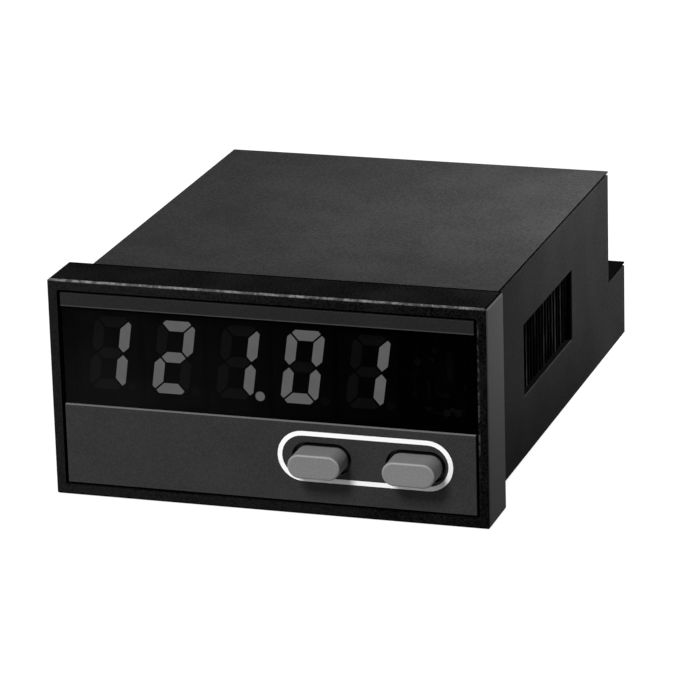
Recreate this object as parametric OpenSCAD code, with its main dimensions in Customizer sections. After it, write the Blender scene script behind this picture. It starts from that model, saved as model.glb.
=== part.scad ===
// Digital panel meter for a 92 x 45 mm panel cut-out: five seven-segment digits, two keys and a
// rear row of screw terminals. The origin is the centre of the plane that seats on the panel.
// +Y runs into the panel, +X is the viewer's right and +Z is up.

/* [Bezel] */
// Width of the bezel
bezel_w = 96; // [92:0.5:130]
// Height of the bezel
bezel_h = 48; // [46:0.5:72]
// Depth of the bezel, from its front face to the panel
bezel_t = 12.3; // [10:0.1:18]
// Width of the bezel's seat on the panel, at each side
seat_w = 3; // [2:0.1:5]
// Width of the bezel's seat on the panel, above and below
seat_h = 2.4; // [1.5:0.1:5]
// Width of the rim that shows round the front opening
rim_w = 2.2; // [1.6:0.1:4]
// Corner radius of the bezel's outline
bezel_corner = 0.8; // [0.3:0.1:3]
// Radius of the bezel's rounded front edge
bezel_edge = 0.6; // [0.2:0.1:1]
// How deep the housing plugs into the back of the bezel
socket_depth = 5; // [3:0.5:6]

/* [Front] */
// Depth of the key plate's face behind the rim
front_recess = 0.1; // [0.1:0.1:2]
// Thickness of the header strip and the key plate
plate_t = 0.8; // [0.4:0.1:1.2]
// Thickness of the filter pane
pane_t = 1.5; // [1:0.1:2.5]
// Gap between the front plates and the rim
front_gap = 0.6; // [0.2:0.05:0.8]
// Height of the header strip
header_h = 3.0; // [1:0.1:6]
// Height of the display window between the header strip and the key plate
window_h = 21.7; // [18.5:0.1:26]

/* [Digits] */
// Digit pitch
digit_pitch = 14.25; // [13.4:0.05:14.3]
// Space between two digit modules
module_space = 1.4; // [0.2:0.1:1.6]
// Height of a digit over its segments
digit_h = 16.2; // [10:0.1:17]
// Width of a digit over its segments
digit_w = 8.2; // [6:0.1:9]
// Width of a segment
segment_w = 2.3; // [1.2:0.05:2.8]
// Gap between neighbouring segments
segment_gap = 0.4; // [0.2:0.05:0.8]
// How far the outer corners of a digit are cut off
digit_corner = 1.6; // [0.8:0.1:2]
// Forward slant of the digits, in degrees
digit_slant = 8; // [0:1:10]
// Diameter of the decimal point
point_d = 2.1; // [1:0.1:2.4]
// Height of a digit module's body
module_h = 21.4; // [19.5:0.1:22]
// Depth of a digit module's body
module_t = 6.9; // [5:0.1:9]

/* [Keys] */
// Place of the middle of the two keys, right of centre
keys_x = 21.9; // [0:0.1:24]
// Distance between the two keys
key_pitch = 20.5; // [16:0.1:21]
// Drop from the window's lower edge to the keys' centre line
key_drop = 7.8; // [5.5:0.1:9]
// Width of a key cap
key_w = 11.4; // [9:0.1:13]
// Height of a key cap
key_h = 5.3; // [4.8:0.1:7]
// How far a key cap stands out from the rim
key_out = 5.7; // [1:0.1:8]
// Gap between a key cap and its hole
key_gap = 0.8; // [0.2:0.05:0.9]
// Travel of a key
key_travel = 1.0; // [0.3:0.1:1.2]
// Radius of a key cap's front edge
key_edge = 0.5; // [0.2:0.1:1]

/* [Housing] */
// Length of the housing behind the panel, without the terminal ledge
body_len = 100.5; // [80:0.5:140]
// Wall thickness of the housing
wall = 2.4; // [2:0.1:3]
// Length of the terminal ledge at the rear
ledge_len = 15; // [13:0.5:20]
// Height of the terminal ledge
ledge_h = 17.2; // [17:0.1:22]
// Thickness of the top cover and the rear cover
cover_t = 2; // [1.6:0.1:3]
// Thickness of the lip that covers the top of a side wall
lip_t = 0.35; // [0.25:0.05:0.8]
// Height of the shadow gap under that lip
lip_gap = 0.55; // [0.2:0.05:0.7]

/* [Vents] */
// Number of vent slots in each side
vent_slots = 17; // [8:1:20]
// Pitch of the vent slots
vent_pitch = 2.4; // [2:0.1:3]
// Width of a bar between two slots
vent_bar = 0.8; // [0.6:0.1:1.2]
// Height of the vent
vent_h = 16.3; // [8:0.1:24]
// Start of the vent behind the panel
vent_start = 26.5; // [10:0.5:40]
// How far the bars lie behind the housing's side
vent_recess = 1.4; // [0.4:0.1:1.4]

/* [Terminals] */
// Pitch of the terminals
pole_pitch = 5.08; // [5:0.01:5.5]
// Number of poles of the supply terminal block
supply_poles = 3; // [2:1:3]
// Number of poles of the signal terminal block
signal_poles = 11; // [4:1:11]
// Space between the two terminal blocks
block_space = 6; // [2:0.5:8]

/* [Hidden] */

$fn = 48;
digit_places = 6;        // the last place stays empty
slip = 0.1;              // gap between pieces that push together
cut = 1;                 // how far a cutting tool runs past a face
board_t = 1.6;           // thickness of both circuit boards

// Planes of the front, from the rim to the display board
y_rim = -bezel_t;
y_plate = y_rim + front_recess;
y_pane = y_plate + plate_t;
y_module = y_pane + pane_t + 0.8;
y_board = y_module + module_t;
y_flange = y_pane + pane_t;
flange_t = 1.5;

// The front opening and what fills it
open_w = bezel_w - 2 * rim_w;
open_h = bezel_h - 2 * rim_w - 0.2;
plate_w = open_w - 2 * front_gap;
plate_top = open_h / 2 - front_gap;
window_top = plate_top - header_h;
window_low = window_top - window_h;
window_z = (window_top + window_low) / 2;
digit_z = window_z + 0.2;
key_z = window_low - key_drop;

// The housing's outline and hollow
body_w = bezel_w - 2 * seat_w;
body_h = bezel_h - 2 * seat_h;
hollow_w = body_w - 2 * wall;
hollow_h = body_h - 2 * wall;
body_top = body_h / 2;
body_low = -body_h / 2;
body_end = body_len;
ledge_end = body_len + ledge_len;
ledge_top = body_low + ledge_h;
shelf_w = wall / 2;      // the part of a side wall that carries a cover

// The main board and the terminals on it
main_w = hollow_w - 1.4;
main_z = body_low + wall + 1.6;
main_top = main_z + board_t;
main_start = 8;
main_end = ledge_end - 0.6;
block_t = 11.5;
block_top = ledge_top - cover_t - 0.3;
block_h = block_top - main_top;
block_start = main_end - block_t;
supply_w = supply_poles * pole_pitch + 1;
signal_w = signal_poles * pole_pitch + 1;
block_row = supply_w + block_space + signal_w;
supply_x = -block_row / 2 + supply_w / 2;
signal_x = block_row / 2 - signal_w / 2;
screw_y = block_start + 5.2;
wire_z = main_top + 4.1;

// Screws of the display board, and the bosses that hold them
boss_d = 4.4;
board_screw_x = hollow_w / 2 - boss_d / 2 - 0.4;
board_screw_z = body_low + wall + boss_d / 2 + 0.4;
thread_d = 2.2;
board_w = hollow_w - 0.8;
board_h = hollow_h - 0.8;

// Screws of the rear cover
rear_screw_x = hollow_w / 2 - 4.5;
rear_screw_z = body_top - cover_t - 5.5;
rear_boss_d = 7;
rear_thread_d = 3;

// Key parts behind the plate
hole_w = key_w + 2 * key_gap;
hole_h = key_h + 2 * key_gap;
switch_w = 6;
switch_t = 3.3;
y_switch = y_board - switch_t;
plunger_d = 3.5;
y_plunger = y_switch - key_travel - 0.2;
key_flange_t = 1.2;
key_flange = 0.5;        // how far the flange reaches past the hole
key_wall = 1.1;

// Segments that are lit in each digit, in the order a b c d e f g, then the decimal point
LIT = [
    [0, 1, 1, 0, 0, 0, 0, 0],
    [1, 1, 0, 1, 1, 0, 1, 0],
    [0, 1, 1, 0, 0, 0, 0, 1],
    [1, 1, 1, 1, 1, 1, 0, 0],
    [0, 1, 1, 0, 0, 0, 0, 0]];

// ---- outlines and helpers ----

function unit(v) = v / norm(v);

// Points that round the corner v between its neighbours p and q
function corner(p, v, q, r, steps) =
    let (
        u = unit(p - v),
        w = unit(q - v),
        half = acos(u * w) / 2,
        centre = v + unit(u + w) * r / sin(half),
        start = v + u * r / tan(half) - centre,
        end = v + w * r / tan(half) - centre,
        from = atan2(start[1], start[0]),
        swing = atan2(end[1], end[0]) - from,
        turn = swing > 180 ? swing - 360 : swing < -180 ? swing + 360 : swing
    )
    [for (i = [0:steps]) centre + r * [cos(from + turn * i / steps), sin(from + turn * i / steps)]];

// A polygon with its corners rounded
function rounded(points, r, steps = 3) =
    let (n = len(points))
    [for (i = [0:n - 1]) each corner(points[(i + n - 1) % n], points[i], points[(i + 1) % n], r, steps)];

function slanted(points) = [for (p = points) [p[0] + p[1] * tan(digit_slant), p[1]]];

module rounded_rectangle(w, h, r) {
    square([w - 2 * r, h], center = true);
    square([w, h - 2 * r], center = true);
    for (x = [-1, 1], y = [-1, 1])
        translate([x * (w / 2 - r), y * (h / 2 - r)]) circle(r);
}

module stadium(w, h) {
    square([w - h, h], center = true);
    for (x = [-1, 1]) translate([x * (w - h) / 2, 0]) circle(h / 2);
}

// An upright slab with the outline of its children, from y to y + t
module slab(y, t) translate([0, y + t, 0]) rotate([90, 0, 0]) linear_extrude(t) children();

// A box from one corner to the other
module box(from, to) translate(from) cube(to - from);

// A round bar along +Y
module rod(y, len, d) translate([0, y, 0]) rotate([-90, 0, 0]) cylinder(h = len, d = d);

// What a rounded edge takes off a corner that points to +X +Y, along Z
module edge_cutter(len, r)
    difference() {
        translate([-r, -r, -len / 2]) cube([r + cut, r + cut, len]);
        translate([-r, -r, -len / 2 - cut]) cylinder(h = len + 2 * cut, r = r);
    }

// ---- bezel ----

// Rounds the four edges of the bezel's front face
module bezel_front_edges() {
    for (side = [-1, 1]) {
        translate([side * bezel_w / 2, y_rim, 0])
            rotate([0, 0, side > 0 ? -90 : 180]) edge_cutter(bezel_h + 2 * cut, bezel_edge);
        translate([0, y_rim, side * bezel_h / 2])
            rotate([0, 90, 0]) rotate([0, 0, side > 0 ? 180 : -90]) edge_cutter(bezel_w + 2 * cut, bezel_edge);
    }
}

// Recesses in the socket's side walls that the housing's latches snap into
module bezel_latches(grow)
    for (side = [-1, 1], z = [-12, 12])
        translate([side * body_w / 2, -socket_depth / 2, z])
            cube([1 + 2 * grow, 1.4 + 2 * grow, 8 + 2 * grow], center = true);

module front_bezel() color([0.09, 0.09, 0.09]) {
    difference() {
        union() {
            difference() {
                slab(y_rim, bezel_t) rounded_rectangle(bezel_w, bezel_h, bezel_corner);
                slab(y_rim - cut, y_flange - y_rim + cut) rounded_rectangle(open_w, open_h, 0.4);
                slab(y_flange - cut, bezel_t) rounded_rectangle(hollow_w, hollow_h, 0.5);
                slab(-socket_depth, socket_depth + cut) square([body_w + 2 * slip, body_h + 2 * slip], center = true);
                bezel_front_edges();
                bezel_latches(slip);
            }
            for (side = [-1, 1])
                translate([side * board_screw_x, 0, board_screw_z]) {
                    rod(y_flange, y_board - y_flange, boss_d);
                    // the web that ties the boss to the wall below it
                    box([-1, y_flange, -(board_screw_z - body_low) + seat_h / 2], [1, -socket_depth, 0]);
                }
        }
        for (side = [-1, 1])
            translate([side * board_screw_x, 0, board_screw_z]) rod(y_board - 5, 5 + cut, thread_d);
    }
}

// ---- front plates ----

module key_holes()
    for (side = [-1, 1]) translate([keys_x + side * key_pitch / 2, key_z]) stadium(hole_w, hole_h);

module header_strip() color([0.16, 0.16, 0.16])
    slab(y_plate, plate_t) translate([0, plate_top - header_h / 2]) square([plate_w, header_h], center = true);

module key_plate() color([0.19, 0.19, 0.19])
    slab(y_plate, plate_t) difference() {
        translate([-plate_w / 2, -plate_top]) square([plate_w, window_low + plate_top]);
        key_holes();
    }

module filter_pane() color([0.05, 0.05, 0.06])
    slab(y_pane, pane_t) difference() {
        square([plate_w, 2 * plate_top], center = true);
        key_holes();
    }

// ---- digits ----

// Outline of a segment in an upright digit: a b c d e f g
function segment_points(name) =
    let (
        w = digit_w / 2,
        h = digit_h / 2,
        t = segment_w,
        c = digit_corner,
        mitre = segment_gap * 0.35,
        tip = segment_gap * 0.7,
        r = 0.15
    )
    name == "a" ? rounded([[-w + c, h], [w - c, h], [w - c / 2 - mitre, h - c / 2 + mitre],
        [w - t - 2 * mitre, h - t], [-w + t + 2 * mitre, h - t], [-w + c / 2 + mitre, h - c / 2 + mitre]], r) :
    name == "b" ? rounded([[w - c / 2 + mitre, h - c / 2 - mitre], [w, h - c], [w, t / 2 + tip], [w - t / 2, tip],
        [w - t, t / 2 + tip], [w - t, h - t - 2 * mitre]], r) :
    name == "g" ? rounded([[-w + t / 2 + tip, 0], [-w + t + tip, t / 2], [w - t - tip, t / 2], [w - t / 2 - tip, 0],
        [w - t - tip, -t / 2], [-w + t + tip, -t / 2]], r) :
    name == "c" ? [for (p = segment_points("b")) [p[0], -p[1]]] :
    name == "d" ? [for (p = segment_points("a")) [p[0], -p[1]]] :
    name == "e" ? [for (p = segment_points("c")) [-p[0], p[1]]] :
    [for (p = segment_points("b")) [-p[0], p[1]]];

module segment_outline(i) {
    if (i < 7) polygon(slanted(segment_points("abcdefg"[i])));
    else translate([digit_w / 2 + 1.7 - digit_h / 2 * tan(digit_slant), -digit_h / 2 + point_d / 2 - 0.1])
        circle(d = point_d);
}

function digit_x(n) = (n - 1 - (digit_places - 1) / 2) * digit_pitch;

segment_depth = 1;

module digit_segments(n)
    translate([digit_x(n), 0, digit_z])
        for (i = [0:7]) color(LIT[n - 1][i] ? [0.75, 0.75, 0.75] : [0.13, 0.13, 0.13])
            slab(y_module, segment_depth) segment_outline(i);

module digit_module(n) color([0.06, 0.06, 0.06])
    translate([digit_x(n), 0, digit_z]) difference() {
        slab(y_module, module_t) square([digit_pitch - module_space, module_h], center = true);
        slab(y_module - cut, segment_depth + cut) for (i = [0:7]) segment_outline(i);
        // hollow back, where the lamps and their pins sit
        slab(y_board - 1.5, 1.5 + cut) square([digit_pitch - module_space - 2.4, module_h - 5], center = true);
    }

// ---- display board ----

module display_board() color([0.10, 0.28, 0.16])
    difference() {
        slab(y_board, board_t) square([board_w, board_h], center = true);
        for (side = [-1, 1])
            translate([side * board_screw_x, 0, board_screw_z]) rod(y_board - cut, board_t + 2 * cut, thread_d + 0.6);
    }

// A flat-legged driver chip in the empty digit place
module display_driver() color([0.08, 0.08, 0.08])
    translate([digit_x(digit_places) + 1.5, y_board, window_z]) {
        box([-2, -1.6, -5], [2, -0.2, 5]);
        for (side = [-1, 1], i = [0:7])
            translate([side * 2.4, -0.35, (i - 3.5) * 1.27]) cube([1.2, 0.7, 0.4], center = true);
    }

module display_resistors() color([0.16, 0.16, 0.17])
    for (z = [-8, -2, 1, 4, 7])
        translate([digit_x(digit_places) - 3.4, y_board - 0.3, window_z + z]) cube([2, 0.6, 1.2], center = true);

module slotted_pan_screw(head_d, head_t, shank_d, shank) {
    difference() {
        cylinder(h = head_t, d = head_d);
        translate([-head_d, -head_d * 0.1, head_t * 0.5]) cube([2 * head_d, head_d * 0.2, head_t]);
    }
    translate([0, 0, -shank]) cylinder(h = shank, d = shank_d);
}

module display_board_screws() color([0.7, 0.7, 0.68])
    for (side = [-1, 1])
        translate([side * board_screw_x, y_board + board_t, board_screw_z])
            rotate([-90, 0, 0]) slotted_pan_screw(4.2, 1.6, thread_d - 2 * slip, 5.5);

// ---- keys ----

// Half of a key cap's rounded end, standing on z = 0
module key_end(len)
    rotate([0, 0, -90]) rotate_extrude(angle = 180) {
        square([key_h / 2 - key_edge, len]);
        square([key_h / 2, len - key_edge]);
        translate([key_h / 2 - key_edge, len - key_edge]) circle(key_edge);
    }

module key_block(len) {
    span = key_w - key_h;
    for (side = [0, 180]) rotate([0, 0, side]) translate([span / 2, 0, 0]) key_end(len);
    translate([-span / 2, 0, 0]) rotate([90, 0, 90]) linear_extrude(span) {
        translate([-key_h / 2, 0]) square([key_h, len - key_edge]);
        translate([-key_h / 2 + key_edge, 0]) square([key_h - 2 * key_edge, len]);
        for (y = [-1, 1]) translate([y * (key_h / 2 - key_edge), len - key_edge]) circle(key_edge);
    }
}

// A hollow cap with a flange behind the pane and a stem that meets the plunger
module key_cap(side) {
    y_back = y_flange + slip + key_flange_t;
    y_front = y_rim - key_out;
    len = y_back - y_front;
    color([0.47, 0.47, 0.47]) translate([keys_x + side * key_pitch / 2, y_back, key_z])
        rotate([90, 0, 0]) {
            difference() {
                union() {
                    key_block(len);
                    linear_extrude(key_flange_t) stadium(hole_w + 2 * key_flange, hole_h + 2 * key_flange);
                }
                translate([0, 0, -cut]) linear_extrude(len - key_wall + cut)
                    stadium(key_w - 2 * key_wall, key_h - 2 * key_wall);
            }
            stem = y_plunger - y_back;
            translate([0, 0, -stem]) cylinder(h = len - key_wall / 2 + stem, d = 2.6);
        }
}

module key_plunger(side) color([0.2, 0.2, 0.2])
    translate([keys_x + side * key_pitch / 2, 0, key_z]) rod(y_plunger, y_switch - y_plunger + 1, plunger_d);

module key_switch(side) color([0.12, 0.12, 0.12])
    translate([keys_x + side * key_pitch / 2, 0, key_z]) difference() {
        slab(y_switch, switch_t) square(switch_w, center = true);
        rod(y_switch - cut, cut + 1 + key_travel + 0.2, plunger_d + 2 * slip);
    }

// ---- housing ----

// A vent: a recess from the outside, then slots right through, with bars left between them
module vent_cutter() {
    vent_len = vent_slots * vent_pitch;
    slot = vent_pitch - vent_bar;
    for (side = [-1, 1]) {
        translate([side * body_w / 2, vent_start + vent_len / 2, 0])
            cube([2 * vent_recess, vent_len, vent_h], center = true);
        for (i = [0:vent_slots - 1])
            translate([side * (body_w / 2 - wall / 2), vent_start + (i + 0.5) * vent_pitch, 0])
                cube([wall + 2, slot, vent_h], center = true);
    }
}

// Guide rails on the side walls, above and below the main board
module board_rails()
    for (side = [-1, 1], z = [main_z - 1.2, main_top + 0.1])
        translate([side * (hollow_w / 2 - 0.6), (main_start + body_end) / 2, z + 0.55])
            cube([2, body_end - main_start, 1.1], center = true);

cover_latch_y = [12, body_len - 24];

// Latch noses of the top cover, and the pockets that hold them when grown
module cover_latches(grow)
    for (side = [-1, 1], y = cover_latch_y)
        translate([side * (hollow_w / 2), y, body_top - cover_t - 3])
            cube([1 + 2 * grow, 7 + 2 * grow, 0.9 + 2 * grow], center = true);

module housing() color([0.2, 0.2, 0.2])
    difference() {
        union() {
            difference() {
                box([-body_w / 2, -socket_depth, body_low], [body_w / 2, ledge_end, body_top - lip_t - lip_gap]);
                box([-hollow_w / 2, -socket_depth - cut, body_low + wall], [hollow_w / 2, ledge_end + cut, body_top]);
                // shelves for the top cover and the rear cover
                box([-body_w / 2 + shelf_w, -socket_depth - cut, body_top - cover_t],
                    [body_w / 2 - shelf_w, ledge_end + cut, body_top + cut]);
                box([-body_w / 2 - cut, body_end, ledge_top - lip_t - lip_gap],
                    [body_w / 2 + cut, ledge_end + cut, body_top + cut]);
                box([-body_w / 2 + shelf_w, body_end, ledge_top - cover_t],
                    [body_w / 2 - shelf_w, ledge_end + cut, body_top + cut]);
            }
            board_rails();
            for (side = [-1, 1])
                translate([side * rear_screw_x, 0, rear_screw_z]) {
                    rod(body_end - cover_t - 8, 8, rear_boss_d);
                    box([side > 0 ? 0 : -(hollow_w / 2 - rear_screw_x) - 0.5, body_end - cover_t - 8, -1.5],
                        [side > 0 ? hollow_w / 2 - rear_screw_x + 0.5 : 0, body_end - cover_t, 1.5]);
                }
            intersection() {
                bezel_latches(0);
                box([-body_w / 2 - 0.4, -socket_depth, body_low], [body_w / 2 + 0.4, 0, body_top]);
            }
        }
        vent_cutter();
        cover_latches(slip);
        for (side = [-1, 1])
            translate([side * rear_screw_x, 0, rear_screw_z]) rod(body_end - cover_t - 7, 7 + cut, rear_thread_d);
    }

// A cover plate seen along Y: a plate between the walls with a thin lip over them
module cover_section(top) {
    translate([-body_w / 2, top - lip_t]) square([body_w, lip_t]);
    translate([-body_w / 2 + shelf_w + slip, top - cover_t]) square([body_w - 2 * (shelf_w + slip), cover_t]);
}

module top_cover() color([0.26, 0.26, 0.26]) {
    slab(-socket_depth, body_end + socket_depth) cover_section(body_top);
    for (side = [-1, 1], y = cover_latch_y)
        box([side > 0 ? hollow_w / 2 - 1.2 : -hollow_w / 2 + 0.2, y - 3.5, body_top - cover_t - 4.2],
            [side > 0 ? hollow_w / 2 - 0.2 : -hollow_w / 2 + 1.2, y + 3.5, body_top - cover_t + 0.5]);
    intersection() {
        cover_latches(0);
        box([-hollow_w / 2 - 0.4, 0, 0], [hollow_w / 2 + 0.4, body_end, body_top]);
    }
}

function pole_x(centre, count, i) = centre + (i - (count - 1) / 2) * pole_pitch;
pole_places = concat(
    [for (i = [0:supply_poles - 1]) pole_x(supply_x, supply_poles, i)],
    [for (i = [0:signal_poles - 1]) pole_x(signal_x, signal_poles, i)]);

// The upright rear wall and the roof over the terminals, moulded as one
module rear_cover() color([0.07, 0.07, 0.07])
    difference() {
        union() {
            box([-hollow_w / 2 + slip, body_end - cover_t, ledge_top - cover_t],
                [hollow_w / 2 - slip, body_end, body_top - cover_t - slip]);
            slab(body_end, ledge_len) cover_section(ledge_top);
        }
        for (side = [-1, 1])
            translate([side * rear_screw_x, 0, rear_screw_z]) rod(body_end - cover_t - cut, cover_t + 2 * cut, 3.6);
        for (x = pole_places)
            translate([x, screw_y, ledge_top - cover_t - cut]) cylinder(h = cover_t + 2 * cut, d = 4);
    }

module rear_cover_screws() color([0.7, 0.7, 0.68])
    for (side = [-1, 1])
        translate([side * rear_screw_x, body_end, rear_screw_z])
            rotate([-90, 0, 0]) slotted_pan_screw(5.6, 2, rear_thread_d - 2 * slip, 8);

// ---- terminals ----

clamp_w = 3.4;
clamp_t = 3.8;
clamp_h = 4.4;

module terminal_block(centre, count) color([0.13, 0.15, 0.13])
    difference() {
        box([centre - (count * pole_pitch + 1) / 2, block_start, main_top],
            [centre + (count * pole_pitch + 1) / 2, main_end, block_top]);
        // the lower step in front of the wire entries
        box([centre - (count * pole_pitch + 3) / 2, main_end - 1.2, main_top + 7.2],
            [centre + (count * pole_pitch + 3) / 2, main_end + cut, block_top + cut]);
        for (i = [0:count - 1])
            translate([pole_x(centre, count, i), 0, 0]) {
                // the chamber round the clamp, the wire's way in and the screw's well
                box([-clamp_w / 2 - slip, screw_y - clamp_t / 2 - slip, wire_z - clamp_h / 2 - slip],
                    [clamp_w / 2 + slip, screw_y + clamp_t / 2 + slip, wire_z + clamp_h / 2 + slip]);
                box([-1.5, screw_y, wire_z - 1.6], [1.5, main_end + cut, wire_z + 1.6]);
                translate([0, screw_y, wire_z]) cylinder(h = block_h, d = 3.8);
            }
    }

module terminal_clamps() color([0.75, 0.72, 0.62])
    for (x = pole_places)
        translate([x, screw_y, wire_z]) difference() {
            cube([clamp_w, clamp_t, clamp_h], center = true);
            translate([0, 0, -0.3]) cube([clamp_w - 1, clamp_t + 2, clamp_h - 1.8], center = true);
            cylinder(h = clamp_h, d = 2.6);
        }

module terminal_screws() color([0.78, 0.78, 0.76])
    for (x = pole_places)
        translate([x, screw_y, block_top - 1.9])
            slotted_pan_screw(3.4, 1.5, 2.4, block_top - 1.9 - wire_z);

// ---- electronics ----

module main_board() color([0.10, 0.28, 0.16])
    box([-main_w / 2, main_start, main_z], [main_w / 2, main_end, main_top]);

// The plug that joins the display board to the main board
module board_connector() color([0.1, 0.1, 0.1])
    box([-12, y_board + board_t, main_top], [12, main_start + 5, main_top + 6]);

transformer = [32, 27, 22];
transformer_at = [-24, body_end - 24.5];

module supply_transformer() {
    size = transformer;
    color([0.15, 0.15, 0.2]) translate([transformer_at[0], transformer_at[1], main_top]) {
        translate([-size[0] / 2, -size[1] / 2, 0]) cube([size[0], size[1], size[2] - 1]);
        translate([-size[0] / 2 + 1, -size[1] / 2 + 1, 0]) cube([size[0] - 2, size[1] - 2, size[2]]);
    }
}

capacitor_d = 12.5;
capacitor_h = 21;

module reservoir_capacitors() color([0.1, 0.12, 0.3])
    for (x = [2, 16]) translate([x, body_end - 18.5, main_top])
        rotate_extrude() difference() {
            square([capacitor_d / 2, capacitor_h]);
            // the rolled groove near the foot of the can
            translate([capacitor_d / 2 + 0.3, 3]) circle(0.8);
        }

regulator_at = [32, body_end - 22.5];

module voltage_regulator() color([0.1, 0.1, 0.1])
    translate([regulator_at[0], regulator_at[1], main_top]) {
        translate([-5, 0, 3]) cube([10, 4.4, 9]);
        for (x = [-2.54, 0, 2.54]) translate([x - 0.4, 1.8, 0]) cube([0.8, 0.6, 3.5]);
    }

module regulator_heat_sink() color([0.6, 0.6, 0.62])
    translate([regulator_at[0], regulator_at[1] + 4.4, main_top]) {
        translate([-8, 0, 0]) cube([16, 2, 24]);
        for (x = [-8, -2.6, 1, 6.4]) translate([x, 1, 0]) cube([1.6, 9, 24]);
    }

module microcontroller() color([0.09, 0.09, 0.09])
    translate([-8, main_start + 24, main_top]) {
        translate([-7, -7, 0.3]) cube([14, 14, 2]);
        for (turn = [0:90:270]) rotate([0, 0, turn])
            for (i = [-5:5]) translate([i * 1.1 - 0.2, 6.5, 0]) cube([0.4, 2.2, 0.5]);
    }

module signal_relay() color([0.85, 0.85, 0.82])
    translate([20, body_end - 48.5, main_top]) {
        translate([-7.5, -10, 0]) cube([15, 20, 9]);
        translate([-6.5, -9, 8]) cube([13, 18, 2]);
    }

// ---- what is built ----

front_bezel();
header_strip();
filter_pane();
key_plate();
for (n = [1:5]) {
    digit_module(n);
    digit_segments(n);
}
display_board();
display_driver();
display_resistors();
display_board_screws();
key_cap(-1);  // left_key_cap
key_cap(1);  // right_key_cap
key_plunger(-1);  // left_key_plunger
key_plunger(1);  // right_key_plunger
key_switch(-1);  // left_key_switch
key_switch(1);  // right_key_switch
housing();
top_cover();
rear_cover();
rear_cover_screws();
terminal_block(supply_x, supply_poles);  // supply_terminal_block
terminal_block(signal_x, signal_poles);  // signal_terminal_block
terminal_clamps();
terminal_screws();
main_board();
board_connector();
supply_transformer();
reservoir_capacitors();
voltage_regulator();
regulator_heat_sink();
microcontroller();
signal_relay();
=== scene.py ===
"""Finishes, print and fine parts for a digital panel meter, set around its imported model."""

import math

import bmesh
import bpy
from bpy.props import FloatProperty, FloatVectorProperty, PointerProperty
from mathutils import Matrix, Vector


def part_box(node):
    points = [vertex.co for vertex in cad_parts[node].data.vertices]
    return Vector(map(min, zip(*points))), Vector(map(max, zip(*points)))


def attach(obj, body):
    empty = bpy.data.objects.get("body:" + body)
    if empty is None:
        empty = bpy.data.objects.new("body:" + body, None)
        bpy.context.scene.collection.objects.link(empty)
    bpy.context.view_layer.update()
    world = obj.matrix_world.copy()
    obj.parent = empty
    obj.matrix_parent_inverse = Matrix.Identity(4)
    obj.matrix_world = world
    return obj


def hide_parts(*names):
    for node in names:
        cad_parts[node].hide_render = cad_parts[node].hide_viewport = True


bl_info = {
    "name": "Panel Meter Finishes",
    "version": (1, 0, 0),
    "blender": (4, 5, 0),
    "location": "3D View > Sidebar > Panel Meter",
    "description": "Moulded, printed and lit finishes for a digital panel meter",
    "category": "Object",
}

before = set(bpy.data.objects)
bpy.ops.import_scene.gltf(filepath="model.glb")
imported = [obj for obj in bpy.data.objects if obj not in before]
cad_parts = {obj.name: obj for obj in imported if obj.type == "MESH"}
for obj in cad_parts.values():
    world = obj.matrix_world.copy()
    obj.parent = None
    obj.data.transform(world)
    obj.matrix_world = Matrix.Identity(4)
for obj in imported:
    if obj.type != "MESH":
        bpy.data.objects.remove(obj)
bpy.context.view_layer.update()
MM = 0.001
CASE = "case"
DIGITS = range(1, 6)
SIDES = ("left", "right")

# Points of a mesh closer than this are one point
WELD = 0.002 * MM
# Faces that meet at less than the first angle are one flat face, and edges over the second are rounded
FLAT_ANGLE = math.radians(1)
SHARP_ANGLE = math.radians(40)

# Segments a to g and the decimal point that are lit in each digit, from the left
LIT = ("bc", "abdeg", "bc.", "abcdef", "bc")

# A decimal point is smaller than this, and a segment is longer
POINT_SIZE = 2.6 * MM

# Copper tracks in the empty digit place: points right of and above the front's centre, in mm
TRACKS = (
    ((32.4, 5.4), (32.3, -1.9), (33.6, -2.9), (36.2, -2.9)),
    ((34.25, 4.6), (34.2, 1.8), (35.2, 0.8), (36.2, 1.5)),
    ((33.9, 11.0), (33.9, 13.6), (36.2, 15.4), (38.6, 15.4)),
    ((30.0, 9.9), (30.0, 6.3), (29.2, 5.3), (29.2, 1.0)),
    ((31.2, 15.6), (31.2, 12.8), (30.1, 11.7), (30.0, 9.9)),
    ((38.9, -2.5), (40.6, -0.8), (40.6, 3.2)),
    ((35.2, 16.6), (38.0, 16.6), (40.8, 13.8), (40.8, 10.4)),
)
# Tinned pads there: place and radius in mm
PADS = (
    (36.2, -2.7, 0.85), (38.6, -2.5, 0.85), (37.4, -1.9, 0.5), (36.2, 1.5, 0.75),
    (33.9, 10.9, 0.8), (30.0, 8.1, 0.8), (32.3, -1.9, 0.6), (33.0, 8.6, 0.6),
    (31.2, 15.6, 0.6), (38.6, 15.4, 0.6), (40.6, 3.2, 0.6), (29.2, 1.0, 0.6),
)
# Printed bar on the driver chip: place, width and height in mm
CHIP_BAR = (37.5, 8.3, 1.3, 6.3)


# ---- settings ----

def length(name, description, default):
    """A size in metres that the sidebar shows with its unit."""
    return FloatProperty(name=name, description=description, default=default, unit="LENGTH", precision=5)


def angle(name, description, degrees):
    """An angle, given in degrees."""
    return FloatProperty(name=name, description=description, default=math.radians(degrees), subtype="ANGLE")


def share(name, description, default):
    """A number from 0 to 1."""
    return FloatProperty(name=name, description=description, default=default, min=0, max=1,
                         subtype="FACTOR")


def colour(name, description, default):
    """A linear colour."""
    return FloatVectorProperty(name=name, description=description, default=default, size=3, min=0, max=1,
                               subtype="COLOR")


def grey(value):
    return (value, value, value)


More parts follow.
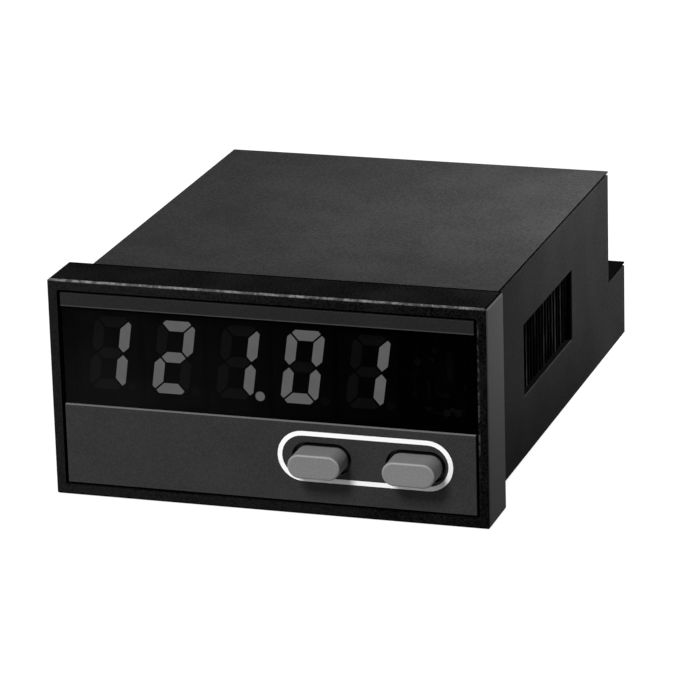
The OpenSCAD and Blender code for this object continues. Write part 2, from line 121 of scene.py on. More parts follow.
class BezelSettings(bpy.types.PropertyGroup):
    face: colour("Face", "Colour of the bezel's front, top and bottom", grey(0.0052))
    # The sides' colour is painted light: paler than the face, as where the side lamp falls on them
    side: colour("Side", "Colour of the bezel's outer sides", grey(0.1))
    # A painted highlight colour for the rounded front edges
    edge_highlight: colour("Worn edge", "Colour where handling has polished the front edges", grey(0.22))
    # A painted shade colour for the step round the plates and for the top's rear and right edges
    line: colour("Dark line", "Colour of the step round the plates and of the top's edges", grey(0.0008))
    roughness: share("Roughness", "Roughness of the satin surface", 0.42)
    grain: length("Grain", "Size of the moulded grain", 0.4 * MM)
    side_grain: length("Side grain", "Size of the grain on the outer sides", 0.6 * MM)
    side_depth: length("Side depth", "How far in from the outer sides their colour reaches", 0.6 * MM)
    # Size of the patches that the painted edge highlight breaks into
    glint_size: length("Rubbing", "Size of the rubbed spots along the front edges", 1.6 * MM)
    step_width: length("Step", "Width of the dark line round the plates", 0.4 * MM)
    rear_width: length("Rear line", "Width of the dark line along the top's rear edge", 0.6 * MM)
    right_width: length("Right line", "Width of the dark line along the top's right edge", 0.45 * MM)
    speck: length("Nick", "Size of the nicks beside the window", 1.3 * MM)
    speck_gap: length("Nick gap", "From the plates' right edge to the nicks", 0.55 * MM)
    speck_width: length("Nick width", "Width of the band that the nicks lie in", 0.6 * MM)
    speck_fade_in: length("Nick fade in", "Width over which the nicks begin", 0.2 * MM)
    speck_fade_out: length("Nick fade out", "Width over which the nicks end", 0.25 * MM)
    speck_run: length("Nick run", "How far below the window the nicks fade out", 12 * MM)


class FrontSettings(bpy.types.PropertyGroup):
    plate: colour("Plate", "Colour of the key plate", grey(0.028))
    strip: colour("Header strip", "Colour of the header strip", grey(0.0125))
    pane: colour("Pane", "Tint of the filter pane", grey(0.0006))
    pane_density: share("Pane density", "How much the filter pane holds back", 0.62)
    # The glare colour is a painted reflection on the pane's left and lower parts
    film: colour("Film", "Colour of the faint film on the pane", grey(0.011))
    glare_size: length("Film size", "Size of the film's patches", 9 * MM)
    # Real cut-edge colour along the strip's foot, and a painted highlight on the plate's top edge
    foil_edge_and_highlight: colour("Foil edge", "Colour of the cut edges of the plate and the strip", grey(0.16))
    foil_grain: length("Foil grain", "Size of the foils' grain", 0.3 * MM)
    foil_round: length("Foil rounding", "Rounding of the foils' edges", 0.15 * MM)
    foil_foot: length("Strip foot", "Height of the bare film along the strip's foot", 0.32 * MM)
    outline: colour("Outline", "Colour of the printed line round the keys", grey(0.95))
    outline_width: length("Line width", "Width of the printed line", 1.0 * MM)
    outline_size_x: length("Outline width", "Width of the outline to the middle of its line", 37.2 * MM)
    outline_size_z: length("Outline height", "Height of the outline to the middle of its line", 10.1 * MM)
    outline_shift_x: length("Outline shift", "How far left of the keys' middle the outline lies", 0.75 * MM)
    outline_rise: length("Outline rise", "How far above the keys' middle the outline lies", 0.35 * MM)
    ink: length("Ink", "Thickness of the printed line", 0.03 * MM)
    ink_grain: length("Ink grain", "Size of the printed line's grain", 0.3 * MM)


class DigitSettings(bpy.types.PropertyGroup):
    reflector: colour("Reflector", "Colour of a digit module's face", grey(0.018))
    dark: colour("Dark segment", "Colour of a segment that is off", grey(0.115))
    point: colour("Dark point", "Colour of a decimal point that is off", grey(0.05))
    lit: colour("Lit segment", "Light of a segment that is on", grey(0.75))
    glow: length("Glow", "Size of the uneven patches in a lit segment", 2.5 * MM)


class KeySettings(bpy.types.PropertyGroup):
    cap: colour("Cap", "Colour of the key caps", grey(0.17))
    # The rim colour is a painted highlight on the caps' rounded front edge
    rim: colour("Rim", "Colour of the caps' rounded front edge", grey(0.25))
    flange: colour("Flange", "Colour of the caps' parts in shade behind the plate", grey(0.004))
    shade_depth: length("Shade depth", "How far behind the plate's front the shade begins", 0.3 * MM)
    plunger: colour("Plunger", "Colour of the plungers and the switches", grey(0.02))
    roughness: share("Roughness", "Roughness of the key caps", 0.55)
    grain: length("Grain", "Size of the moulded grain", 0.4 * MM)


class CaseSettings(bpy.types.PropertyGroup):
    side: colour("Housing", "Colour of the housing", grey(0.028))
    top: colour("Top cover", "Colour of the top cover", grey(0.026))
    rear: colour("Rear cover", "Colour of the rear cover", grey(0.02))
    # A painted shade colour that the sides darken to at their foot
    foot: colour("Foot", "Colour that the sides darken to at their foot", grey(0.002))
    hollow: colour("Hollow", "Colour inside the vents and the case", grey(0.003))
    bar: colour("Bars", "Colour where the vents' bars catch light", grey(0.05))
    hollow_side: length("Hollow side", "How far below the sides the hollow's colour begins", 0.3 * MM)
    hollow_top: length("Hollow top", "How far from the top and the foot it begins", 2.2 * MM)
    bar_depth: length("Bar depth", "How far below the sides the bars' outer faces lie at most", 2 * MM)
    bar_patch: length("Bar patches", "Size of the lighter patches on the bars", 2.1 * MM)
    roughness: share("Roughness", "Roughness of the grained surface", 0.6)
    grain: length("Grain", "Size of the moulded grain", 0.55 * MM)


class BoardSettings(bpy.types.PropertyGroup):
    lacquer: colour("Lacquer", "Colour of the main board's lacquer", (0.012, 0.05, 0.026))
    black: colour("Black lacquer", "Colour of the display board's lacquer", grey(0.004))
    copper: colour("Tracks", "Colour of the tracks under the black lacquer", grey(0.055))
    pad: colour("Pads", "Colour of the tinned pads", grey(0.12))
    chip: colour("Chips", "Colour of the display board's chips", grey(0.008))
    resin: colour("Resin", "Colour of the transformer and the chips inside", grey(0.015))
    connector: colour("Connector", "Colour of the board connector", grey(0.02))
    sleeve: colour("Sleeve", "Colour of the capacitors' sleeves", (0.01, 0.015, 0.05))
    relay: colour("Relay", "Colour of the relay", grey(0.6))
    heat_sink: colour("Heat sink", "Colour of the heat sink", grey(0.5))
    track: length("Track width", "Width of a copper track", 0.5 * MM)
    copper_rise: length("Copper", "How far a track stands out", 0.04 * MM)
    pad_rise: length("Tin", "How far a tinned pad stands out", 0.09 * MM)
    bar_rise: length("Bar", "How far the bar on the chip stands out", 0.05 * MM)


class TerminalSettings(bpy.types.PropertyGroup):
    block: colour("Blocks", "Colour of the terminal blocks", (0.02, 0.05, 0.03))
    tin: colour("Tin", "Colour of the wire clamps", (0.72, 0.7, 0.64))
    zinc: colour("Zinc", "Colour of the screws", (0.68, 0.68, 0.66))


class StageSettings(bpy.types.PropertyGroup):
    azimuth: angle("Azimuth", "Turn of the camera round the meter", 18.07)
    elevation: angle("Elevation", "Height of the camera above the horizon", 18.07)
    roll: angle("Roll", "Lean of the camera to its right", 1.64)
    distance: length("Distance", "From the camera to the point it looks at", 0.8661)
    lens: FloatProperty(name="Lens", description="Focal length in millimetres", default=222.47,
                        unit="CAMERA")
    aim_x: length("Aim across", "Where the camera looks, right of the front's centre", 16.5 * MM)
    aim_z: length("Aim up", "Where the camera looks, above the front's centre", 15.1 * MM)
    floor: colour("Floor", "Colour of the floor", grey(0.15))
    floor_glow: share("Floor glow", "How white the floor looks of itself", 0.92)
    sky: share("Sky", "Strength of the surroundings as a light", 0.16)


class MeterSettings(bpy.types.PropertyGroup):
    bezel: PointerProperty(type=BezelSettings)
    front: PointerProperty(type=FrontSettings)
    digits: PointerProperty(type=DigitSettings)
    keys: PointerProperty(type=KeySettings)
    case: PointerProperty(type=CaseSettings)
    boards: PointerProperty(type=BoardSettings)
    terminals: PointerProperty(type=TerminalSettings)
    stage: PointerProperty(type=StageSettings)


# ---- shader expressions ----

class Signal:
    """A socket that takes part in Python expressions, each of which adds its node."""

    def __init__(self, nodes, socket):
        self.nodes = nodes
        self.socket = socket

    def math(self, operation, *values):
        return self.nodes.node("ShaderNodeMath", {"operation": operation}, dict(enumerate(values)))

    def __add__(self, other):
        return self.math("ADD", self, other)

    __radd__ = __add__

    def __sub__(self, other):
        return self.math("SUBTRACT", self, other)

    def __rsub__(self, other):
        return self.math("SUBTRACT", other, self)

    def __mul__(self, other):
        return self.math("MULTIPLY", self, other)

    __rmul__ = __mul__

    def __gt__(self, other):
        return self.math("GREATER_THAN", self, other)

    def __lt__(self, other):
        return self.math("LESS_THAN", self, other)

    def __abs__(self):
        return self.math("ABSOLUTE", self)

    def larger(self, other):
        return self.math("MAXIMUM", self, other)

    def smaller(self, other):
        return self.math("MINIMUM", self, other)

    def part(self, axis):
        """One part of a vector."""
        return self.nodes.node("ShaderNodeSeparateXYZ", {}, {"Vector": self}, axis)

    def parts(self):
        """All three parts of a vector."""
        return [self.part(axis) for axis in "XYZ"]

    def smooth(self, low, high, start=0.0, end=1.0):
        """The value eased from start at low to end at high."""
        ends = {"Value": self, "From Min": low, "From Max": high, "To Min": start, "To Max": end}
        return self.nodes.node("ShaderNodeMapRange", {"interpolation_type": "SMOOTHSTEP"}, ends)


class NodeTree:
    """The nodes of a material or a world, made by expressions."""

    def __init__(self, tree):
        self.tree = tree

    def plug(self, socket, value):
        """Links a signal to a socket, or sets the socket's own value."""
        if isinstance(value, Signal):
            self.tree.links.new(value.socket, socket)
        elif hasattr(value, "__len__") and socket.type == "RGBA":
            socket.default_value = (*value[:3], 1)
        else:
            socket.default_value = value

    def node(self, kind, settings, sockets, output=0):
        """Adds a node: its settings first, then the values or links of its sockets."""
        made = self.tree.nodes.new(kind)
        for name, value in settings.items():
            setattr(made, name, value)
        for name, value in sockets.items():
            self.plug(made.inputs[name], value)
        return Signal(self, made.outputs[output])

    def seen_rays(self):
        """1 for a ray from the camera, a reflection or a view through glass, else 0."""
        rays = [self.node("ShaderNodeLightPath", {}, {}, name)
                for name in ("Is Camera Ray", "Is Glossy Ray", "Is Transmission Ray")]
        return (rays[0] + rays[1] + rays[2]).smaller(1.0)


class Finish(NodeTree):
    """A material with one shader. Its tone is the colour that a finish starts from."""

    def __init__(self, name, **constants):
        self.material = bpy.data.materials.new(name)
        self.material.use_nodes = True
        super().__init__(self.material.node_tree)
        self.tree.nodes.clear()
        output = self.tree.nodes.new("ShaderNodeOutputMaterial")
        self.shader = self.tree.nodes.new("ShaderNodeBsdfPrincipled")
        self.tree.links.new(self.shader.outputs["BSDF"], output.inputs["Surface"])
        self.tone = None
        for socket, value in constants.items():
            self.set(socket.replace("_", " "), value)

    def set(self, socket, value):
        self.plug(self.shader.inputs[socket], value)
        return self

    def place(self):
        """Where a point lies in the meter's own frame, in metres."""
        return self.node("ShaderNodeTexCoord", {}, {}, "Object")

    def facing(self):
        """The surface's true normal in the meter's own frame."""
        normal = self.node("ShaderNodeNewGeometry", {}, {}, "True Normal")
        settings = {"vector_type": "NORMAL", "convert_from": "WORLD", "convert_to": "OBJECT"}
        return self.node("ShaderNodeVectorTransform", settings, {"Vector": normal})

    def noise(self, size, detail=2.0, stretch=None, roughness=0.5):
        """Even noise whose features are about size across."""
        place = self.place()
        if stretch:
            place = self.node("ShaderNodeVectorMath", {"operation": "MULTIPLY"}, {0: place, 1: stretch})
        return self.node("ShaderNodeTexNoise", {},
                         {"Vector": place, "Scale": 1 / size, "Detail": detail, "Roughness": roughness})

    def mix(self, factor, first, second):
        """A colour between two colours."""
        return self.node("ShaderNodeMix", {"data_type": "RGBA"}, {"Factor": factor, 6: first, 7: second}, 2)

    def bump(self, height, depth):
        """Raises the surface by height times depth, in metres."""
        return self.set("Normal", self.node("ShaderNodeBump", {}, {"Height": height, "Distance": depth}))


def scaled(value, factor):
    return tuple(min(1.0, part * factor) for part in value)


# Size of the soft clouds in moulded plastic, of the marks on metal and of a board's glass cloth
CLOUD = 14 * MM
SCRATCH = 0.6 * MM
CLOTH = 0.4 * MM


def moulded(name, tint, roughness, grain, specular=0.12, mottle=0.12, depth=0.02 * MM):
    """Moulded plastic with a fine grain, a faint mottle and uneven gloss."""
    finish = Finish(name, Specular_IOR_Level=specular)
    fine = finish.noise(grain, detail=3)
    cloud = finish.noise(CLOUD, detail=2)
    light = (fine * 0.7 + cloud * 0.3).smooth(0.38, 0.62)
    finish.tone = finish.mix(light, scaled(tint, 1 - mottle), scaled(tint, 1 + mottle))
    finish.set("Base Color", finish.tone)
    finish.set("Roughness", roughness + (fine - 0.5) * 0.12 + (cloud - 0.5) * 0.08)
    return finish.bump(fine, depth)


def metal(name, tint, roughness):
    """Plated metal with fine marks from handling."""
    finish = Finish(name, Metallic=1.0)
    marks = finish.noise(SCRATCH, detail=4, stretch=(1, 1, 6))
    finish.set("Base Color", finish.mix(marks.smooth(0.35, 0.7), scaled(tint, 0.82), tint))
    finish.set("Roughness", roughness + (marks - 0.5) * 0.25)
    return finish.bump(marks, 0.008 * MM)


def board_lacquer(name, tint, specular):
    """Lacquered board with the weave of its glass cloth."""
    finish = Finish(name, Roughness=0.32, Specular_IOR_Level=specular)
    weave = finish.noise(CLOTH, detail=1)
    finish.set("Base Color", finish.mix(weave, scaled(tint, 0.75), scaled(tint, 1.25)))
    return finish.bump(weave, 0.01 * MM)


# ---- meshes ----

def dress(piece, finish):
    """Gives a piece its finish and clears the ones it came with."""
    piece.data.materials.clear()
    piece.data.materials.append(finish.material)
    return piece


def dress_node(name, finish):
    """Gives a carried-over node its finish."""
    return dress(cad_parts[name], finish)


def piece_from(name, mesh):
    """A new piece in the meter's frame that moves with the case."""
    piece = bpy.data.objects.new(name, mesh)
    bpy.context.scene.collection.objects.link(piece)
    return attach(piece, CASE)


def closed_piece(name, shape):
    """A piece from a closed shape, with its faces turned outward."""
    bmesh.ops.recalc_face_normals(shape, faces=shape.faces)
    mesh = bpy.data.meshes.new(name)
    shape.to_mesh(mesh)
    shape.free()
    return piece_from(name, mesh)


def welded_copy(node):
    """A copy of a node's mesh, and its shape with doubled points joined."""
    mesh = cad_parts[node].data.copy()
    shape = bmesh.new()
    shape.from_mesh(mesh)
    bmesh.ops.remove_doubles(shape, verts=shape.verts, dist=WELD)
    return mesh, shape


def soften(name, node, edge):
    """A copy of a node whose sharp edges are rounded, which stands for the node."""
    mesh, shape = welded_copy(node)
    bmesh.ops.dissolve_limit(shape, angle_limit=FLAT_ANGLE, verts=shape.verts, edges=shape.edges)
    shape.to_mesh(mesh)
    shape.free()
    mesh.name = name
    piece = piece_from(name, mesh)
    bevel = piece.modifiers.new("Rounded edges", "BEVEL")
    bevel.width = edge
    bevel.segments = 2
    bevel.limit_method = "ANGLE"
    bevel.angle_limit = SHARP_ANGLE
    bevel.use_clamp_overlap = False
    bevel.harden_normals = True
    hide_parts(node)
    return piece


def stadium(centre, width, height, steps=16):
    """Points round an upright stadium shape, counterclockwise from its right end's foot."""
    radius = height / 2
    straight = width / 2 - radius
    points = []
    for side in (1, -1):
        for step in range(steps + 1):
            turn = math.pi * (step / steps - 0.5) + (0 if side > 0 else math.pi)
            points.append((centre.x + side * straight + radius * math.cos(turn),
                           centre.z + radius * math.sin(turn)))
    return points


def circle(x, z, radius, steps=20):
    turns = [2 * math.pi * step / steps for step in range(steps)]
    return [(x + radius * math.cos(turn), z + radius * math.sin(turn)) for turn in turns]


def rectangle(x, z, width, height):
    return [(x + i * width / 2, z + k * height / 2) for i, k in ((-1, -1), (1, -1), (1, 1), (-1, 1))]


def strip_outline(points, half):
    """The outline of a band along a line of points, counterclockwise, with mitred corners."""
    line = [Vector(point) * MM for point in points]
    left, right = [], []
    for i, point in enumerate(line):
        before = (point - line[i - 1]).normalized() if i else None
        after = (line[i + 1] - point).normalized() if i + 1 < len(line) else None
        ahead = ((before or after) + (after or before)).normalized()
        across = Vector((-ahead.y, ahead.x))
        square = across.dot(Vector((-(before or after).y, (before or after).x)))
        left.append(point + across * half / square)
        right.append(point - across * half / square)
    return [tuple(point) for point in right + left[::-1]]


def ribbon(name, outer, inner, y, thickness):
    """A flat closed band between two outlines, standing out of the plane at y."""
    shape = bmesh.new()
    rings = []
    for outline, depth in ((outer, 0), (outer, thickness), (inner, thickness), (inner, 0)):
        rings.append([shape.verts.new((x, y - depth, z)) for x, z in outline])
    count = len(outer)
    for first, second in zip(rings, rings[1:] + rings[:1]):
        for i in range(count):
            k = (i + 1) % count
            shape.faces.new((first[i], first[k], second[k], second[i]))
    return closed_piece(name, shape)


def plates(name, outlines, y, thickness):
    """Flat closed plates that stand out of the plane at y."""
    shape = bmesh.new()
    for outline in outlines:
        front, back = ([shape.verts.new((x, depth, z)) for x, z in outline] for depth in (y - thickness, y))
        shape.faces.new(front)
        shape.faces.new(back[::-1])
        for i in range(len(outline)):
            k = (i + 1) % len(outline)
            shape.faces.new((front[k], front[i], back[i], back[k]))
    return closed_piece(name, shape)


# ---- pieces ----

class MeterOperator(bpy.types.Operator):
    """Shared by the meter's operators"""
    bl_options = {"REGISTER", "UNDO"}

    @property
    def meter(self):
        return bpy.context.scene.panel_meter


class METER_OT_bezel(MeterOperator):
    """Finish the front bezel"""
    bl_idname = "meter.bezel"
    bl_label = "Bezel"

    def execute(self, context):
        settings = self.meter.bezel
        finish = moulded("bezel satin", settings.face, settings.roughness, settings.grain, specular=0.0,
                         mottle=0.75)
        low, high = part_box("front_bezel")
        across, back, up = finish.place().parts()
        aside, behind, above = finish.facing().parts()
        front = behind * -1
        # painted light: the front face is a little lighter at the left, as if lit from there
        lighter = across.smooth(low.x, high.x, 0.9, 0.0) * front
        lighter = lighter * finish.noise(settings.grain, detail=3).smooth(0.35, 0.6, 0.45, 1.0)
        tone = finish.mix(lighter, finish.tone, scaled(settings.face, 2.4))
        # painted light: the outer sides get their own paler colour, lighter towards their top, as if lit
        # from the right and above
        side = abs(aside).smooth(0.6, 0.95) * (abs(across) > high.x - settings.side_depth)
        painted_top_light = up.smooth(low.z, high.z, 0.0, 0.8) + finish.noise(settings.side_grain) * 0.2
        lit_side_tone = finish.mix(painted_top_light, scaled(settings.side, 0.68), scaled(settings.side, 1.35))
        tone = finish.mix(side, tone, lit_side_tone)
        # painted highlight: the rounded front edges, which face between the front and the top, are lighter
        # in patches, as where the lamp above glints
        edge = front.smooth(0.15, 0.4) * above.smooth(0.2, 0.5)
        glinting = finish.noise(settings.glint_size, detail=5, roughness=0.75)
        tone = finish.mix(edge * glinting.smooth(0.4, 0.68, 0.22), tone, settings.edge_highlight)
        # painted shade: dark lines round the plates and along the top's rear and right edges
        painted_shade_lines = self.step_line(settings, across, up, front) + self.top_lines(settings, across, back, above)
        tone = finish.mix(painted_shade_lines, tone, settings.line)
        nicks = self.nicks(settings, finish, across, up, front)
        finish.set("Base Color", finish.mix(nicks, tone, scaled(settings.edge_highlight, 0.2)))
        dress_node("front_bezel", finish)
        return {"FINISHED"}

    def step_line(self, settings, across, up, front):
        """The shaded step round the plates, on the front face."""
        plate_low, plate_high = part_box("key_plate")
        strip_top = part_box("header_strip")[1].z
        middle = (plate_low.z + strip_top) / 2
        beside = abs(across) - plate_high.x
        over = abs(up - middle) - (strip_top - middle)
        return (beside.larger(over) < settings.step_width) * (front > 0.5)

    def top_lines(self, settings, across, back, above):
        """Painted shade along the top's rear and right edges, whose rear edge lies in the plane y = 0."""
        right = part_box("front_bezel")[1].x
        painted_shade_lines = (back > -settings.rear_width) + (across > right - settings.right_width)
        return painted_shade_lines.smaller(1.0) * (above > 0.7)

    def nicks(self, settings, finish, across, up, front):
        """Small pale specks in a band at the window's right."""
        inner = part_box("key_plate")[1].x + settings.speck_gap
        outer = inner + settings.speck_width
        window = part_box("key_plate")[1].z
        band = across.smooth(inner, inner + settings.speck_fade_in)
        band = band * across.smooth(outer, outer - settings.speck_fade_out)
        band = band * up.smooth(window - settings.speck_run, window) * (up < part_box("header_strip")[1].z)
        spots = finish.noise(settings.speck, detail=3, roughness=0.7).smooth(0.44, 0.62)
        return band * (front > 0.5) * spots


class METER_OT_front(MeterOperator):
    """Finish the header strip, the key plate, its print and the filter pane"""
    bl_idname = "meter.front"
    bl_label = "Front plates"

    def execute(self, context):
        settings = self.meter.front
        for node, tint in (("header_strip", settings.strip), ("key_plate", settings.plate)):
            foil = moulded(f"{node} foil", tint, roughness=0.5, grain=settings.foil_grain, specular=0.06,
                           mottle=0.2, depth=0.008 * MM)
            if node == "header_strip":
                # the strip's foot is cut back to its bare film
                edge = (foil.place().part("Z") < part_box(node)[0].z + settings.foil_foot) * 0.2
            else:
                # painted highlight: the plate's upward-facing rounded top edge is lighter, as if lit from
                # above
                edge = foil.facing().part("Z").smooth(0.2, 0.6)
            foil.set("Base Color", foil.mix(edge, foil.tone, settings.foil_edge_and_highlight))
            dress(soften(f"{node}_foil", node, settings.foil_round), foil)
        dress_node("filter_pane", self.pane_finish(settings))
        self.print_outline(settings)
        return {"FINISHED"}

    def pane_finish(self, settings):
        """A dark clear pane with a painted reflection: a faint soft glare on its left and lower parts."""
        pane = Finish("filter pane", Roughness=0.12, Specular_IOR_Level=0.0, Alpha=settings.pane_density)
        place = pane.place()
        low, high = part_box("filter_pane")
        left = place.part("X").smooth(low.x * 0.95, high.x * 0.6, 1.0, 0.0)
        lower = place.part("Z").smooth(low.z, high.z, 1.0, 0.35)
        film = left * lower * pane.noise(settings.glare_size, detail=4).smooth(0.2, 0.75, 0.6)
        return pane.set("Base Color", pane.mix(film, settings.pane, settings.film))

    def print_outline(self, settings):
        """The printed line that runs round both keys."""
        caps = [cap_outline(side) for side in SIDES]
        centre = sum((low + high for low, high in caps), Vector()) / (2 * len(caps))
        centre += Vector((-settings.outline_shift_x, 0, settings.outline_rise))
        width = settings.outline_size_x
        height = settings.outline_size_z
        line_width = settings.outline_width
        line = ribbon("key_outline_print",
                      stadium(centre, width + line_width, height + line_width),
                      stadium(centre, width - line_width, height - line_width),
                      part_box("key_plate")[0].y, settings.ink)
        ink = Finish("white ink", Base_Color=settings.outline, Specular_IOR_Level=0.2)
        ink.set("Roughness", 0.55 + (ink.noise(settings.ink_grain) - 0.5) * 0.2)
        dress(line, ink)


def cap_outline(side):
    """Lowest and highest corner of the part of a key cap that stands in front of the bezel."""
    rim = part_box("front_bezel")[0].y
    front = [v.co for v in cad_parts[f"{side}_key_cap"].data.vertices if v.co.y < rim]
    return (Vector(map(min, zip(*front))), Vector(map(max, zip(*front))))


class METER_OT_digits(MeterOperator):
    """Finish the digit modules and light their segments"""
    bl_idname = "meter.digits"
    bl_label = "Digits"

    def execute(self, context):
        settings = self.meter.digits
        reflector = moulded("digit reflector", settings.reflector, roughness=0.6, grain=0.3 * MM,
                            specular=0.02, depth=0.006 * MM)
        dark, lit, point = (Finish(name, Base_Color=tint, Roughness=0.5, Specular_IOR_Level=0.2)
                            for name, tint in (("dark segment", settings.dark),
                                               ("lit segment", settings.dark),
                                               ("dark point", settings.point)))
        glow = lit.noise(settings.glow, detail=1).smooth(0.3, 0.7)
        lit.set("Emission Strength", 1.0)
        lit.set("Emission Color", lit.mix(glow, scaled(settings.lit, 0.92), settings.lit))
        for number in DIGITS:
            dress_node(f"digit_module_{number}", reflector)
            self.split_segments(number, {"dark": dark, "lit": lit, "point": point})
        return {"FINISHED"}

    def split_segments(self, number, finishes):
        """Parts a digit's segments into those that are lit, those that are not and a point that is off."""
        node = f"digit_segments_{number}"
        low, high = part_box(node)
        for state, finish in finishes.items():
            if state == "point" and "." in LIT[number - 1]:
                continue
            mesh, shape = welded_copy(node)
            for island in islands(shape):
                name = segment_name(island, low, high)
                own = "lit" if name in LIT[number - 1] else "point" if name == "." else "dark"
                if own != state:
                    bmesh.ops.delete(shape, geom=island, context="VERTS")
            shape.to_mesh(mesh)
            shape.free()
            piece = dress(piece_from(f"digit_{number}_{state}_segments", mesh), finish)
            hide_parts(node)


def islands(shape):
    """Groups of joined vertices."""
    left = set(shape.verts)
    groups = []
    while left:
        group = {left.pop()}
        rim = list(group)
        while rim:
            vertex = rim.pop()
            near = {edge.other_vert(vertex) for edge in vertex.link_edges} - group
            group |= near
            rim += near
        left -= group
        groups.append(list(group))
    return groups


def segment_name(island, low, high):
    """Which segment a group of vertices is, from where its middle lies in the digit."""
    middle = sum((v.co for v in island), Vector()) / len(island)
    height = max(v.co.z for v in island) - min(v.co.z for v in island)
    width = max(v.co.x for v in island) - min(v.co.x for v in island)
    if max(height, width) < POINT_SIZE:
        return "."
    across = (middle.x - low.x) / (high.x - low.x)
    up = (middle.z - low.z) / (high.z - low.z)
    if width > height:
        return "d" if up < 0.3 else "g" if up < 0.7 else "a"
    # a digit leans to the right and has its point there, so its middle lies left of the box's
    left = across < 0.45
    if up > 0.5:
        return "f" if left else "b"
    return "e" if left else "c"


class METER_OT_display_board(MeterOperator):
    """Finish the display board and lay its tracks"""
    bl_idname = "meter.display_board"
    bl_label = "Display board"

    def execute(self, context):
        settings = self.meter.boards
        dress_node("display_board", board_lacquer("black board lacquer", settings.black, specular=0.02))
        resin = moulded("chip resin", settings.chip, roughness=0.45, grain=0.15 * MM, specular=0.02)
        for node in ("display_driver", "display_resistors"):
            dress_node(node, resin)
        self.lay_copper(settings)
        return {"FINISHED"}

    def lay_copper(self, settings):
        """Tracks, pads and the printed bar on the chip in the empty digit place."""
        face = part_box("display_board")[0].y
        tracks = [strip_outline(points, settings.track / 2) for points in TRACKS]
        copper = board_lacquer("lacquered copper", settings.copper, specular=0.02)
        dress(plates("display_tracks", tracks, face, settings.copper_rise), copper)
        pads = [circle(x * MM, z * MM, radius * MM) for x, z, radius in PADS]
        tin = moulded("tinned pads", settings.pad, roughness=0.4, grain=0.3 * MM, specular=0.1, mottle=0.3)
        dress(plates("display_pads", pads, face, settings.pad_rise), tin)
        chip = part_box("display_driver")[0].y
        bar = [rectangle(*(size * MM for size in CHIP_BAR))]
        dress(plates("display_chip_bar", bar, chip, settings.bar_rise), copper)


class METER_OT_keys(MeterOperator):
    """Finish the keys"""
    bl_idname = "meter.keys"
    bl_label = "Keys"

    def execute(self, context):
        settings = self.meter.keys
        cap = moulded("key plastic", settings.cap, settings.roughness, settings.grain, specular=0.35,
                      mottle=0.1, depth=0.01 * MM)
        facing = cap.facing()
        front = facing.part("Y") * -1
        # painted highlight: the rounded front edge is paler where it faces up, least so along its foot
        rim = front.smooth(0.25, 0.5) * front.smooth(0.97, 0.85) * facing.part("Z").smooth(-0.7, 0.1, 0.25)
        tone = cap.mix(rim, cap.tone, settings.rim)
        # the flange and the foot of a cap lie in shade behind the plate
        shade = cap.place().part("Y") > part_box("key_plate")[0].y + settings.shade_depth
        cap.set("Base Color", cap.mix(shade, tone, settings.flange))
        plunger = moulded("plunger plastic", settings.plunger, roughness=0.4, grain=0.2 * MM)
        for side in SIDES:
            dress_node(f"{side}_key_cap", cap)
            dress_node(f"{side}_key_plunger", plunger)
            dress_node(f"{side}_key_switch", plunger)
        return {"FINISHED"}


class METER_OT_case(MeterOperator):
    """Finish the housing and its covers"""
    bl_idname = "meter.case"
    bl_label = "Case"

    def execute(self, context):
        settings = self.meter.case
        dress_node("housing", self.housing_finish(settings))
        for node, tint in (("top_cover", settings.top), ("rear_cover", settings.rear)):
            finish = moulded(f"{node} plastic", tint, settings.roughness, settings.grain, specular=0.0,
                             mottle=0.2)
            # painted shade: the covers' cut side edges and the ledge's top are darker
            facing = finish.facing()
            dark = abs(facing.part("X")).smooth(0.6, 0.9)
            if node == "rear_cover":
                dark = dark + facing.part("Z").smooth(0.6, 0.9)
            finish.set("Base Color", finish.mix(dark, finish.tone, scaled(tint, 0.12)))
            dress_node(node, finish)
        return {"FINISHED"}

    def housing_finish(self, settings):
        """Grained outside, and dark where the vents and the hollow let little light in."""
        finish = moulded("housing plastic", settings.side, settings.roughness, settings.grain, specular=0.0,
                         mottle=0.15)
        across, back, up = finish.place().parts()
        sideways = abs(finish.facing().part("X"))
        # painted shade: the sides are darker towards the foot, except at the rear
        low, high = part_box("housing")
        foot = up.smooth(low.z, 0.0, 0.42, 0.0) * back.smooth(high.y * 0.55, high.y * 0.9, 1.0, 0.0)
        tone = finish.mix(foot * sideways, finish.tone, settings.foot)
        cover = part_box("top_cover")[1]
        deep = (abs(across) < cover.x - settings.hollow_side) * (abs(up) < cover.z - settings.hollow_top)
        tone = finish.mix(deep, tone, settings.hollow)
        # the bars' outer faces catch some light, each a little differently
        bars = deep * (sideways > 0.9) * (abs(across) > cover.x - settings.bar_depth)
        uneven = finish.noise(settings.bar_patch, detail=3, stretch=(0.2, 1, 0.06), roughness=0.8)
        return finish.set("Base Color", finish.mix(bars * uneven.smooth(0.46, 0.72), tone, settings.bar))


class METER_OT_terminals(MeterOperator):
    """Finish the terminal blocks, their clamps and all screws"""
    bl_idname = "meter.terminals"
    bl_label = "Terminals and screws"

    def execute(self, context):
        settings = self.meter.terminals
        block = moulded("terminal plastic", settings.block, roughness=0.45, grain=0.2 * MM)
        zinc = metal("zinc plate", settings.zinc, roughness=0.3)
        nodes = {
            "supply_terminal_block": block,
            "signal_terminal_block": block,
            "terminal_clamps": metal("tinned brass", settings.tin, roughness=0.35),
            "terminal_screws": zinc,
            "rear_cover_screws": zinc,
            "display_board_screws": zinc,
        }
        for node, finish in nodes.items():
            dress_node(node, finish)
        return {"FINISHED"}


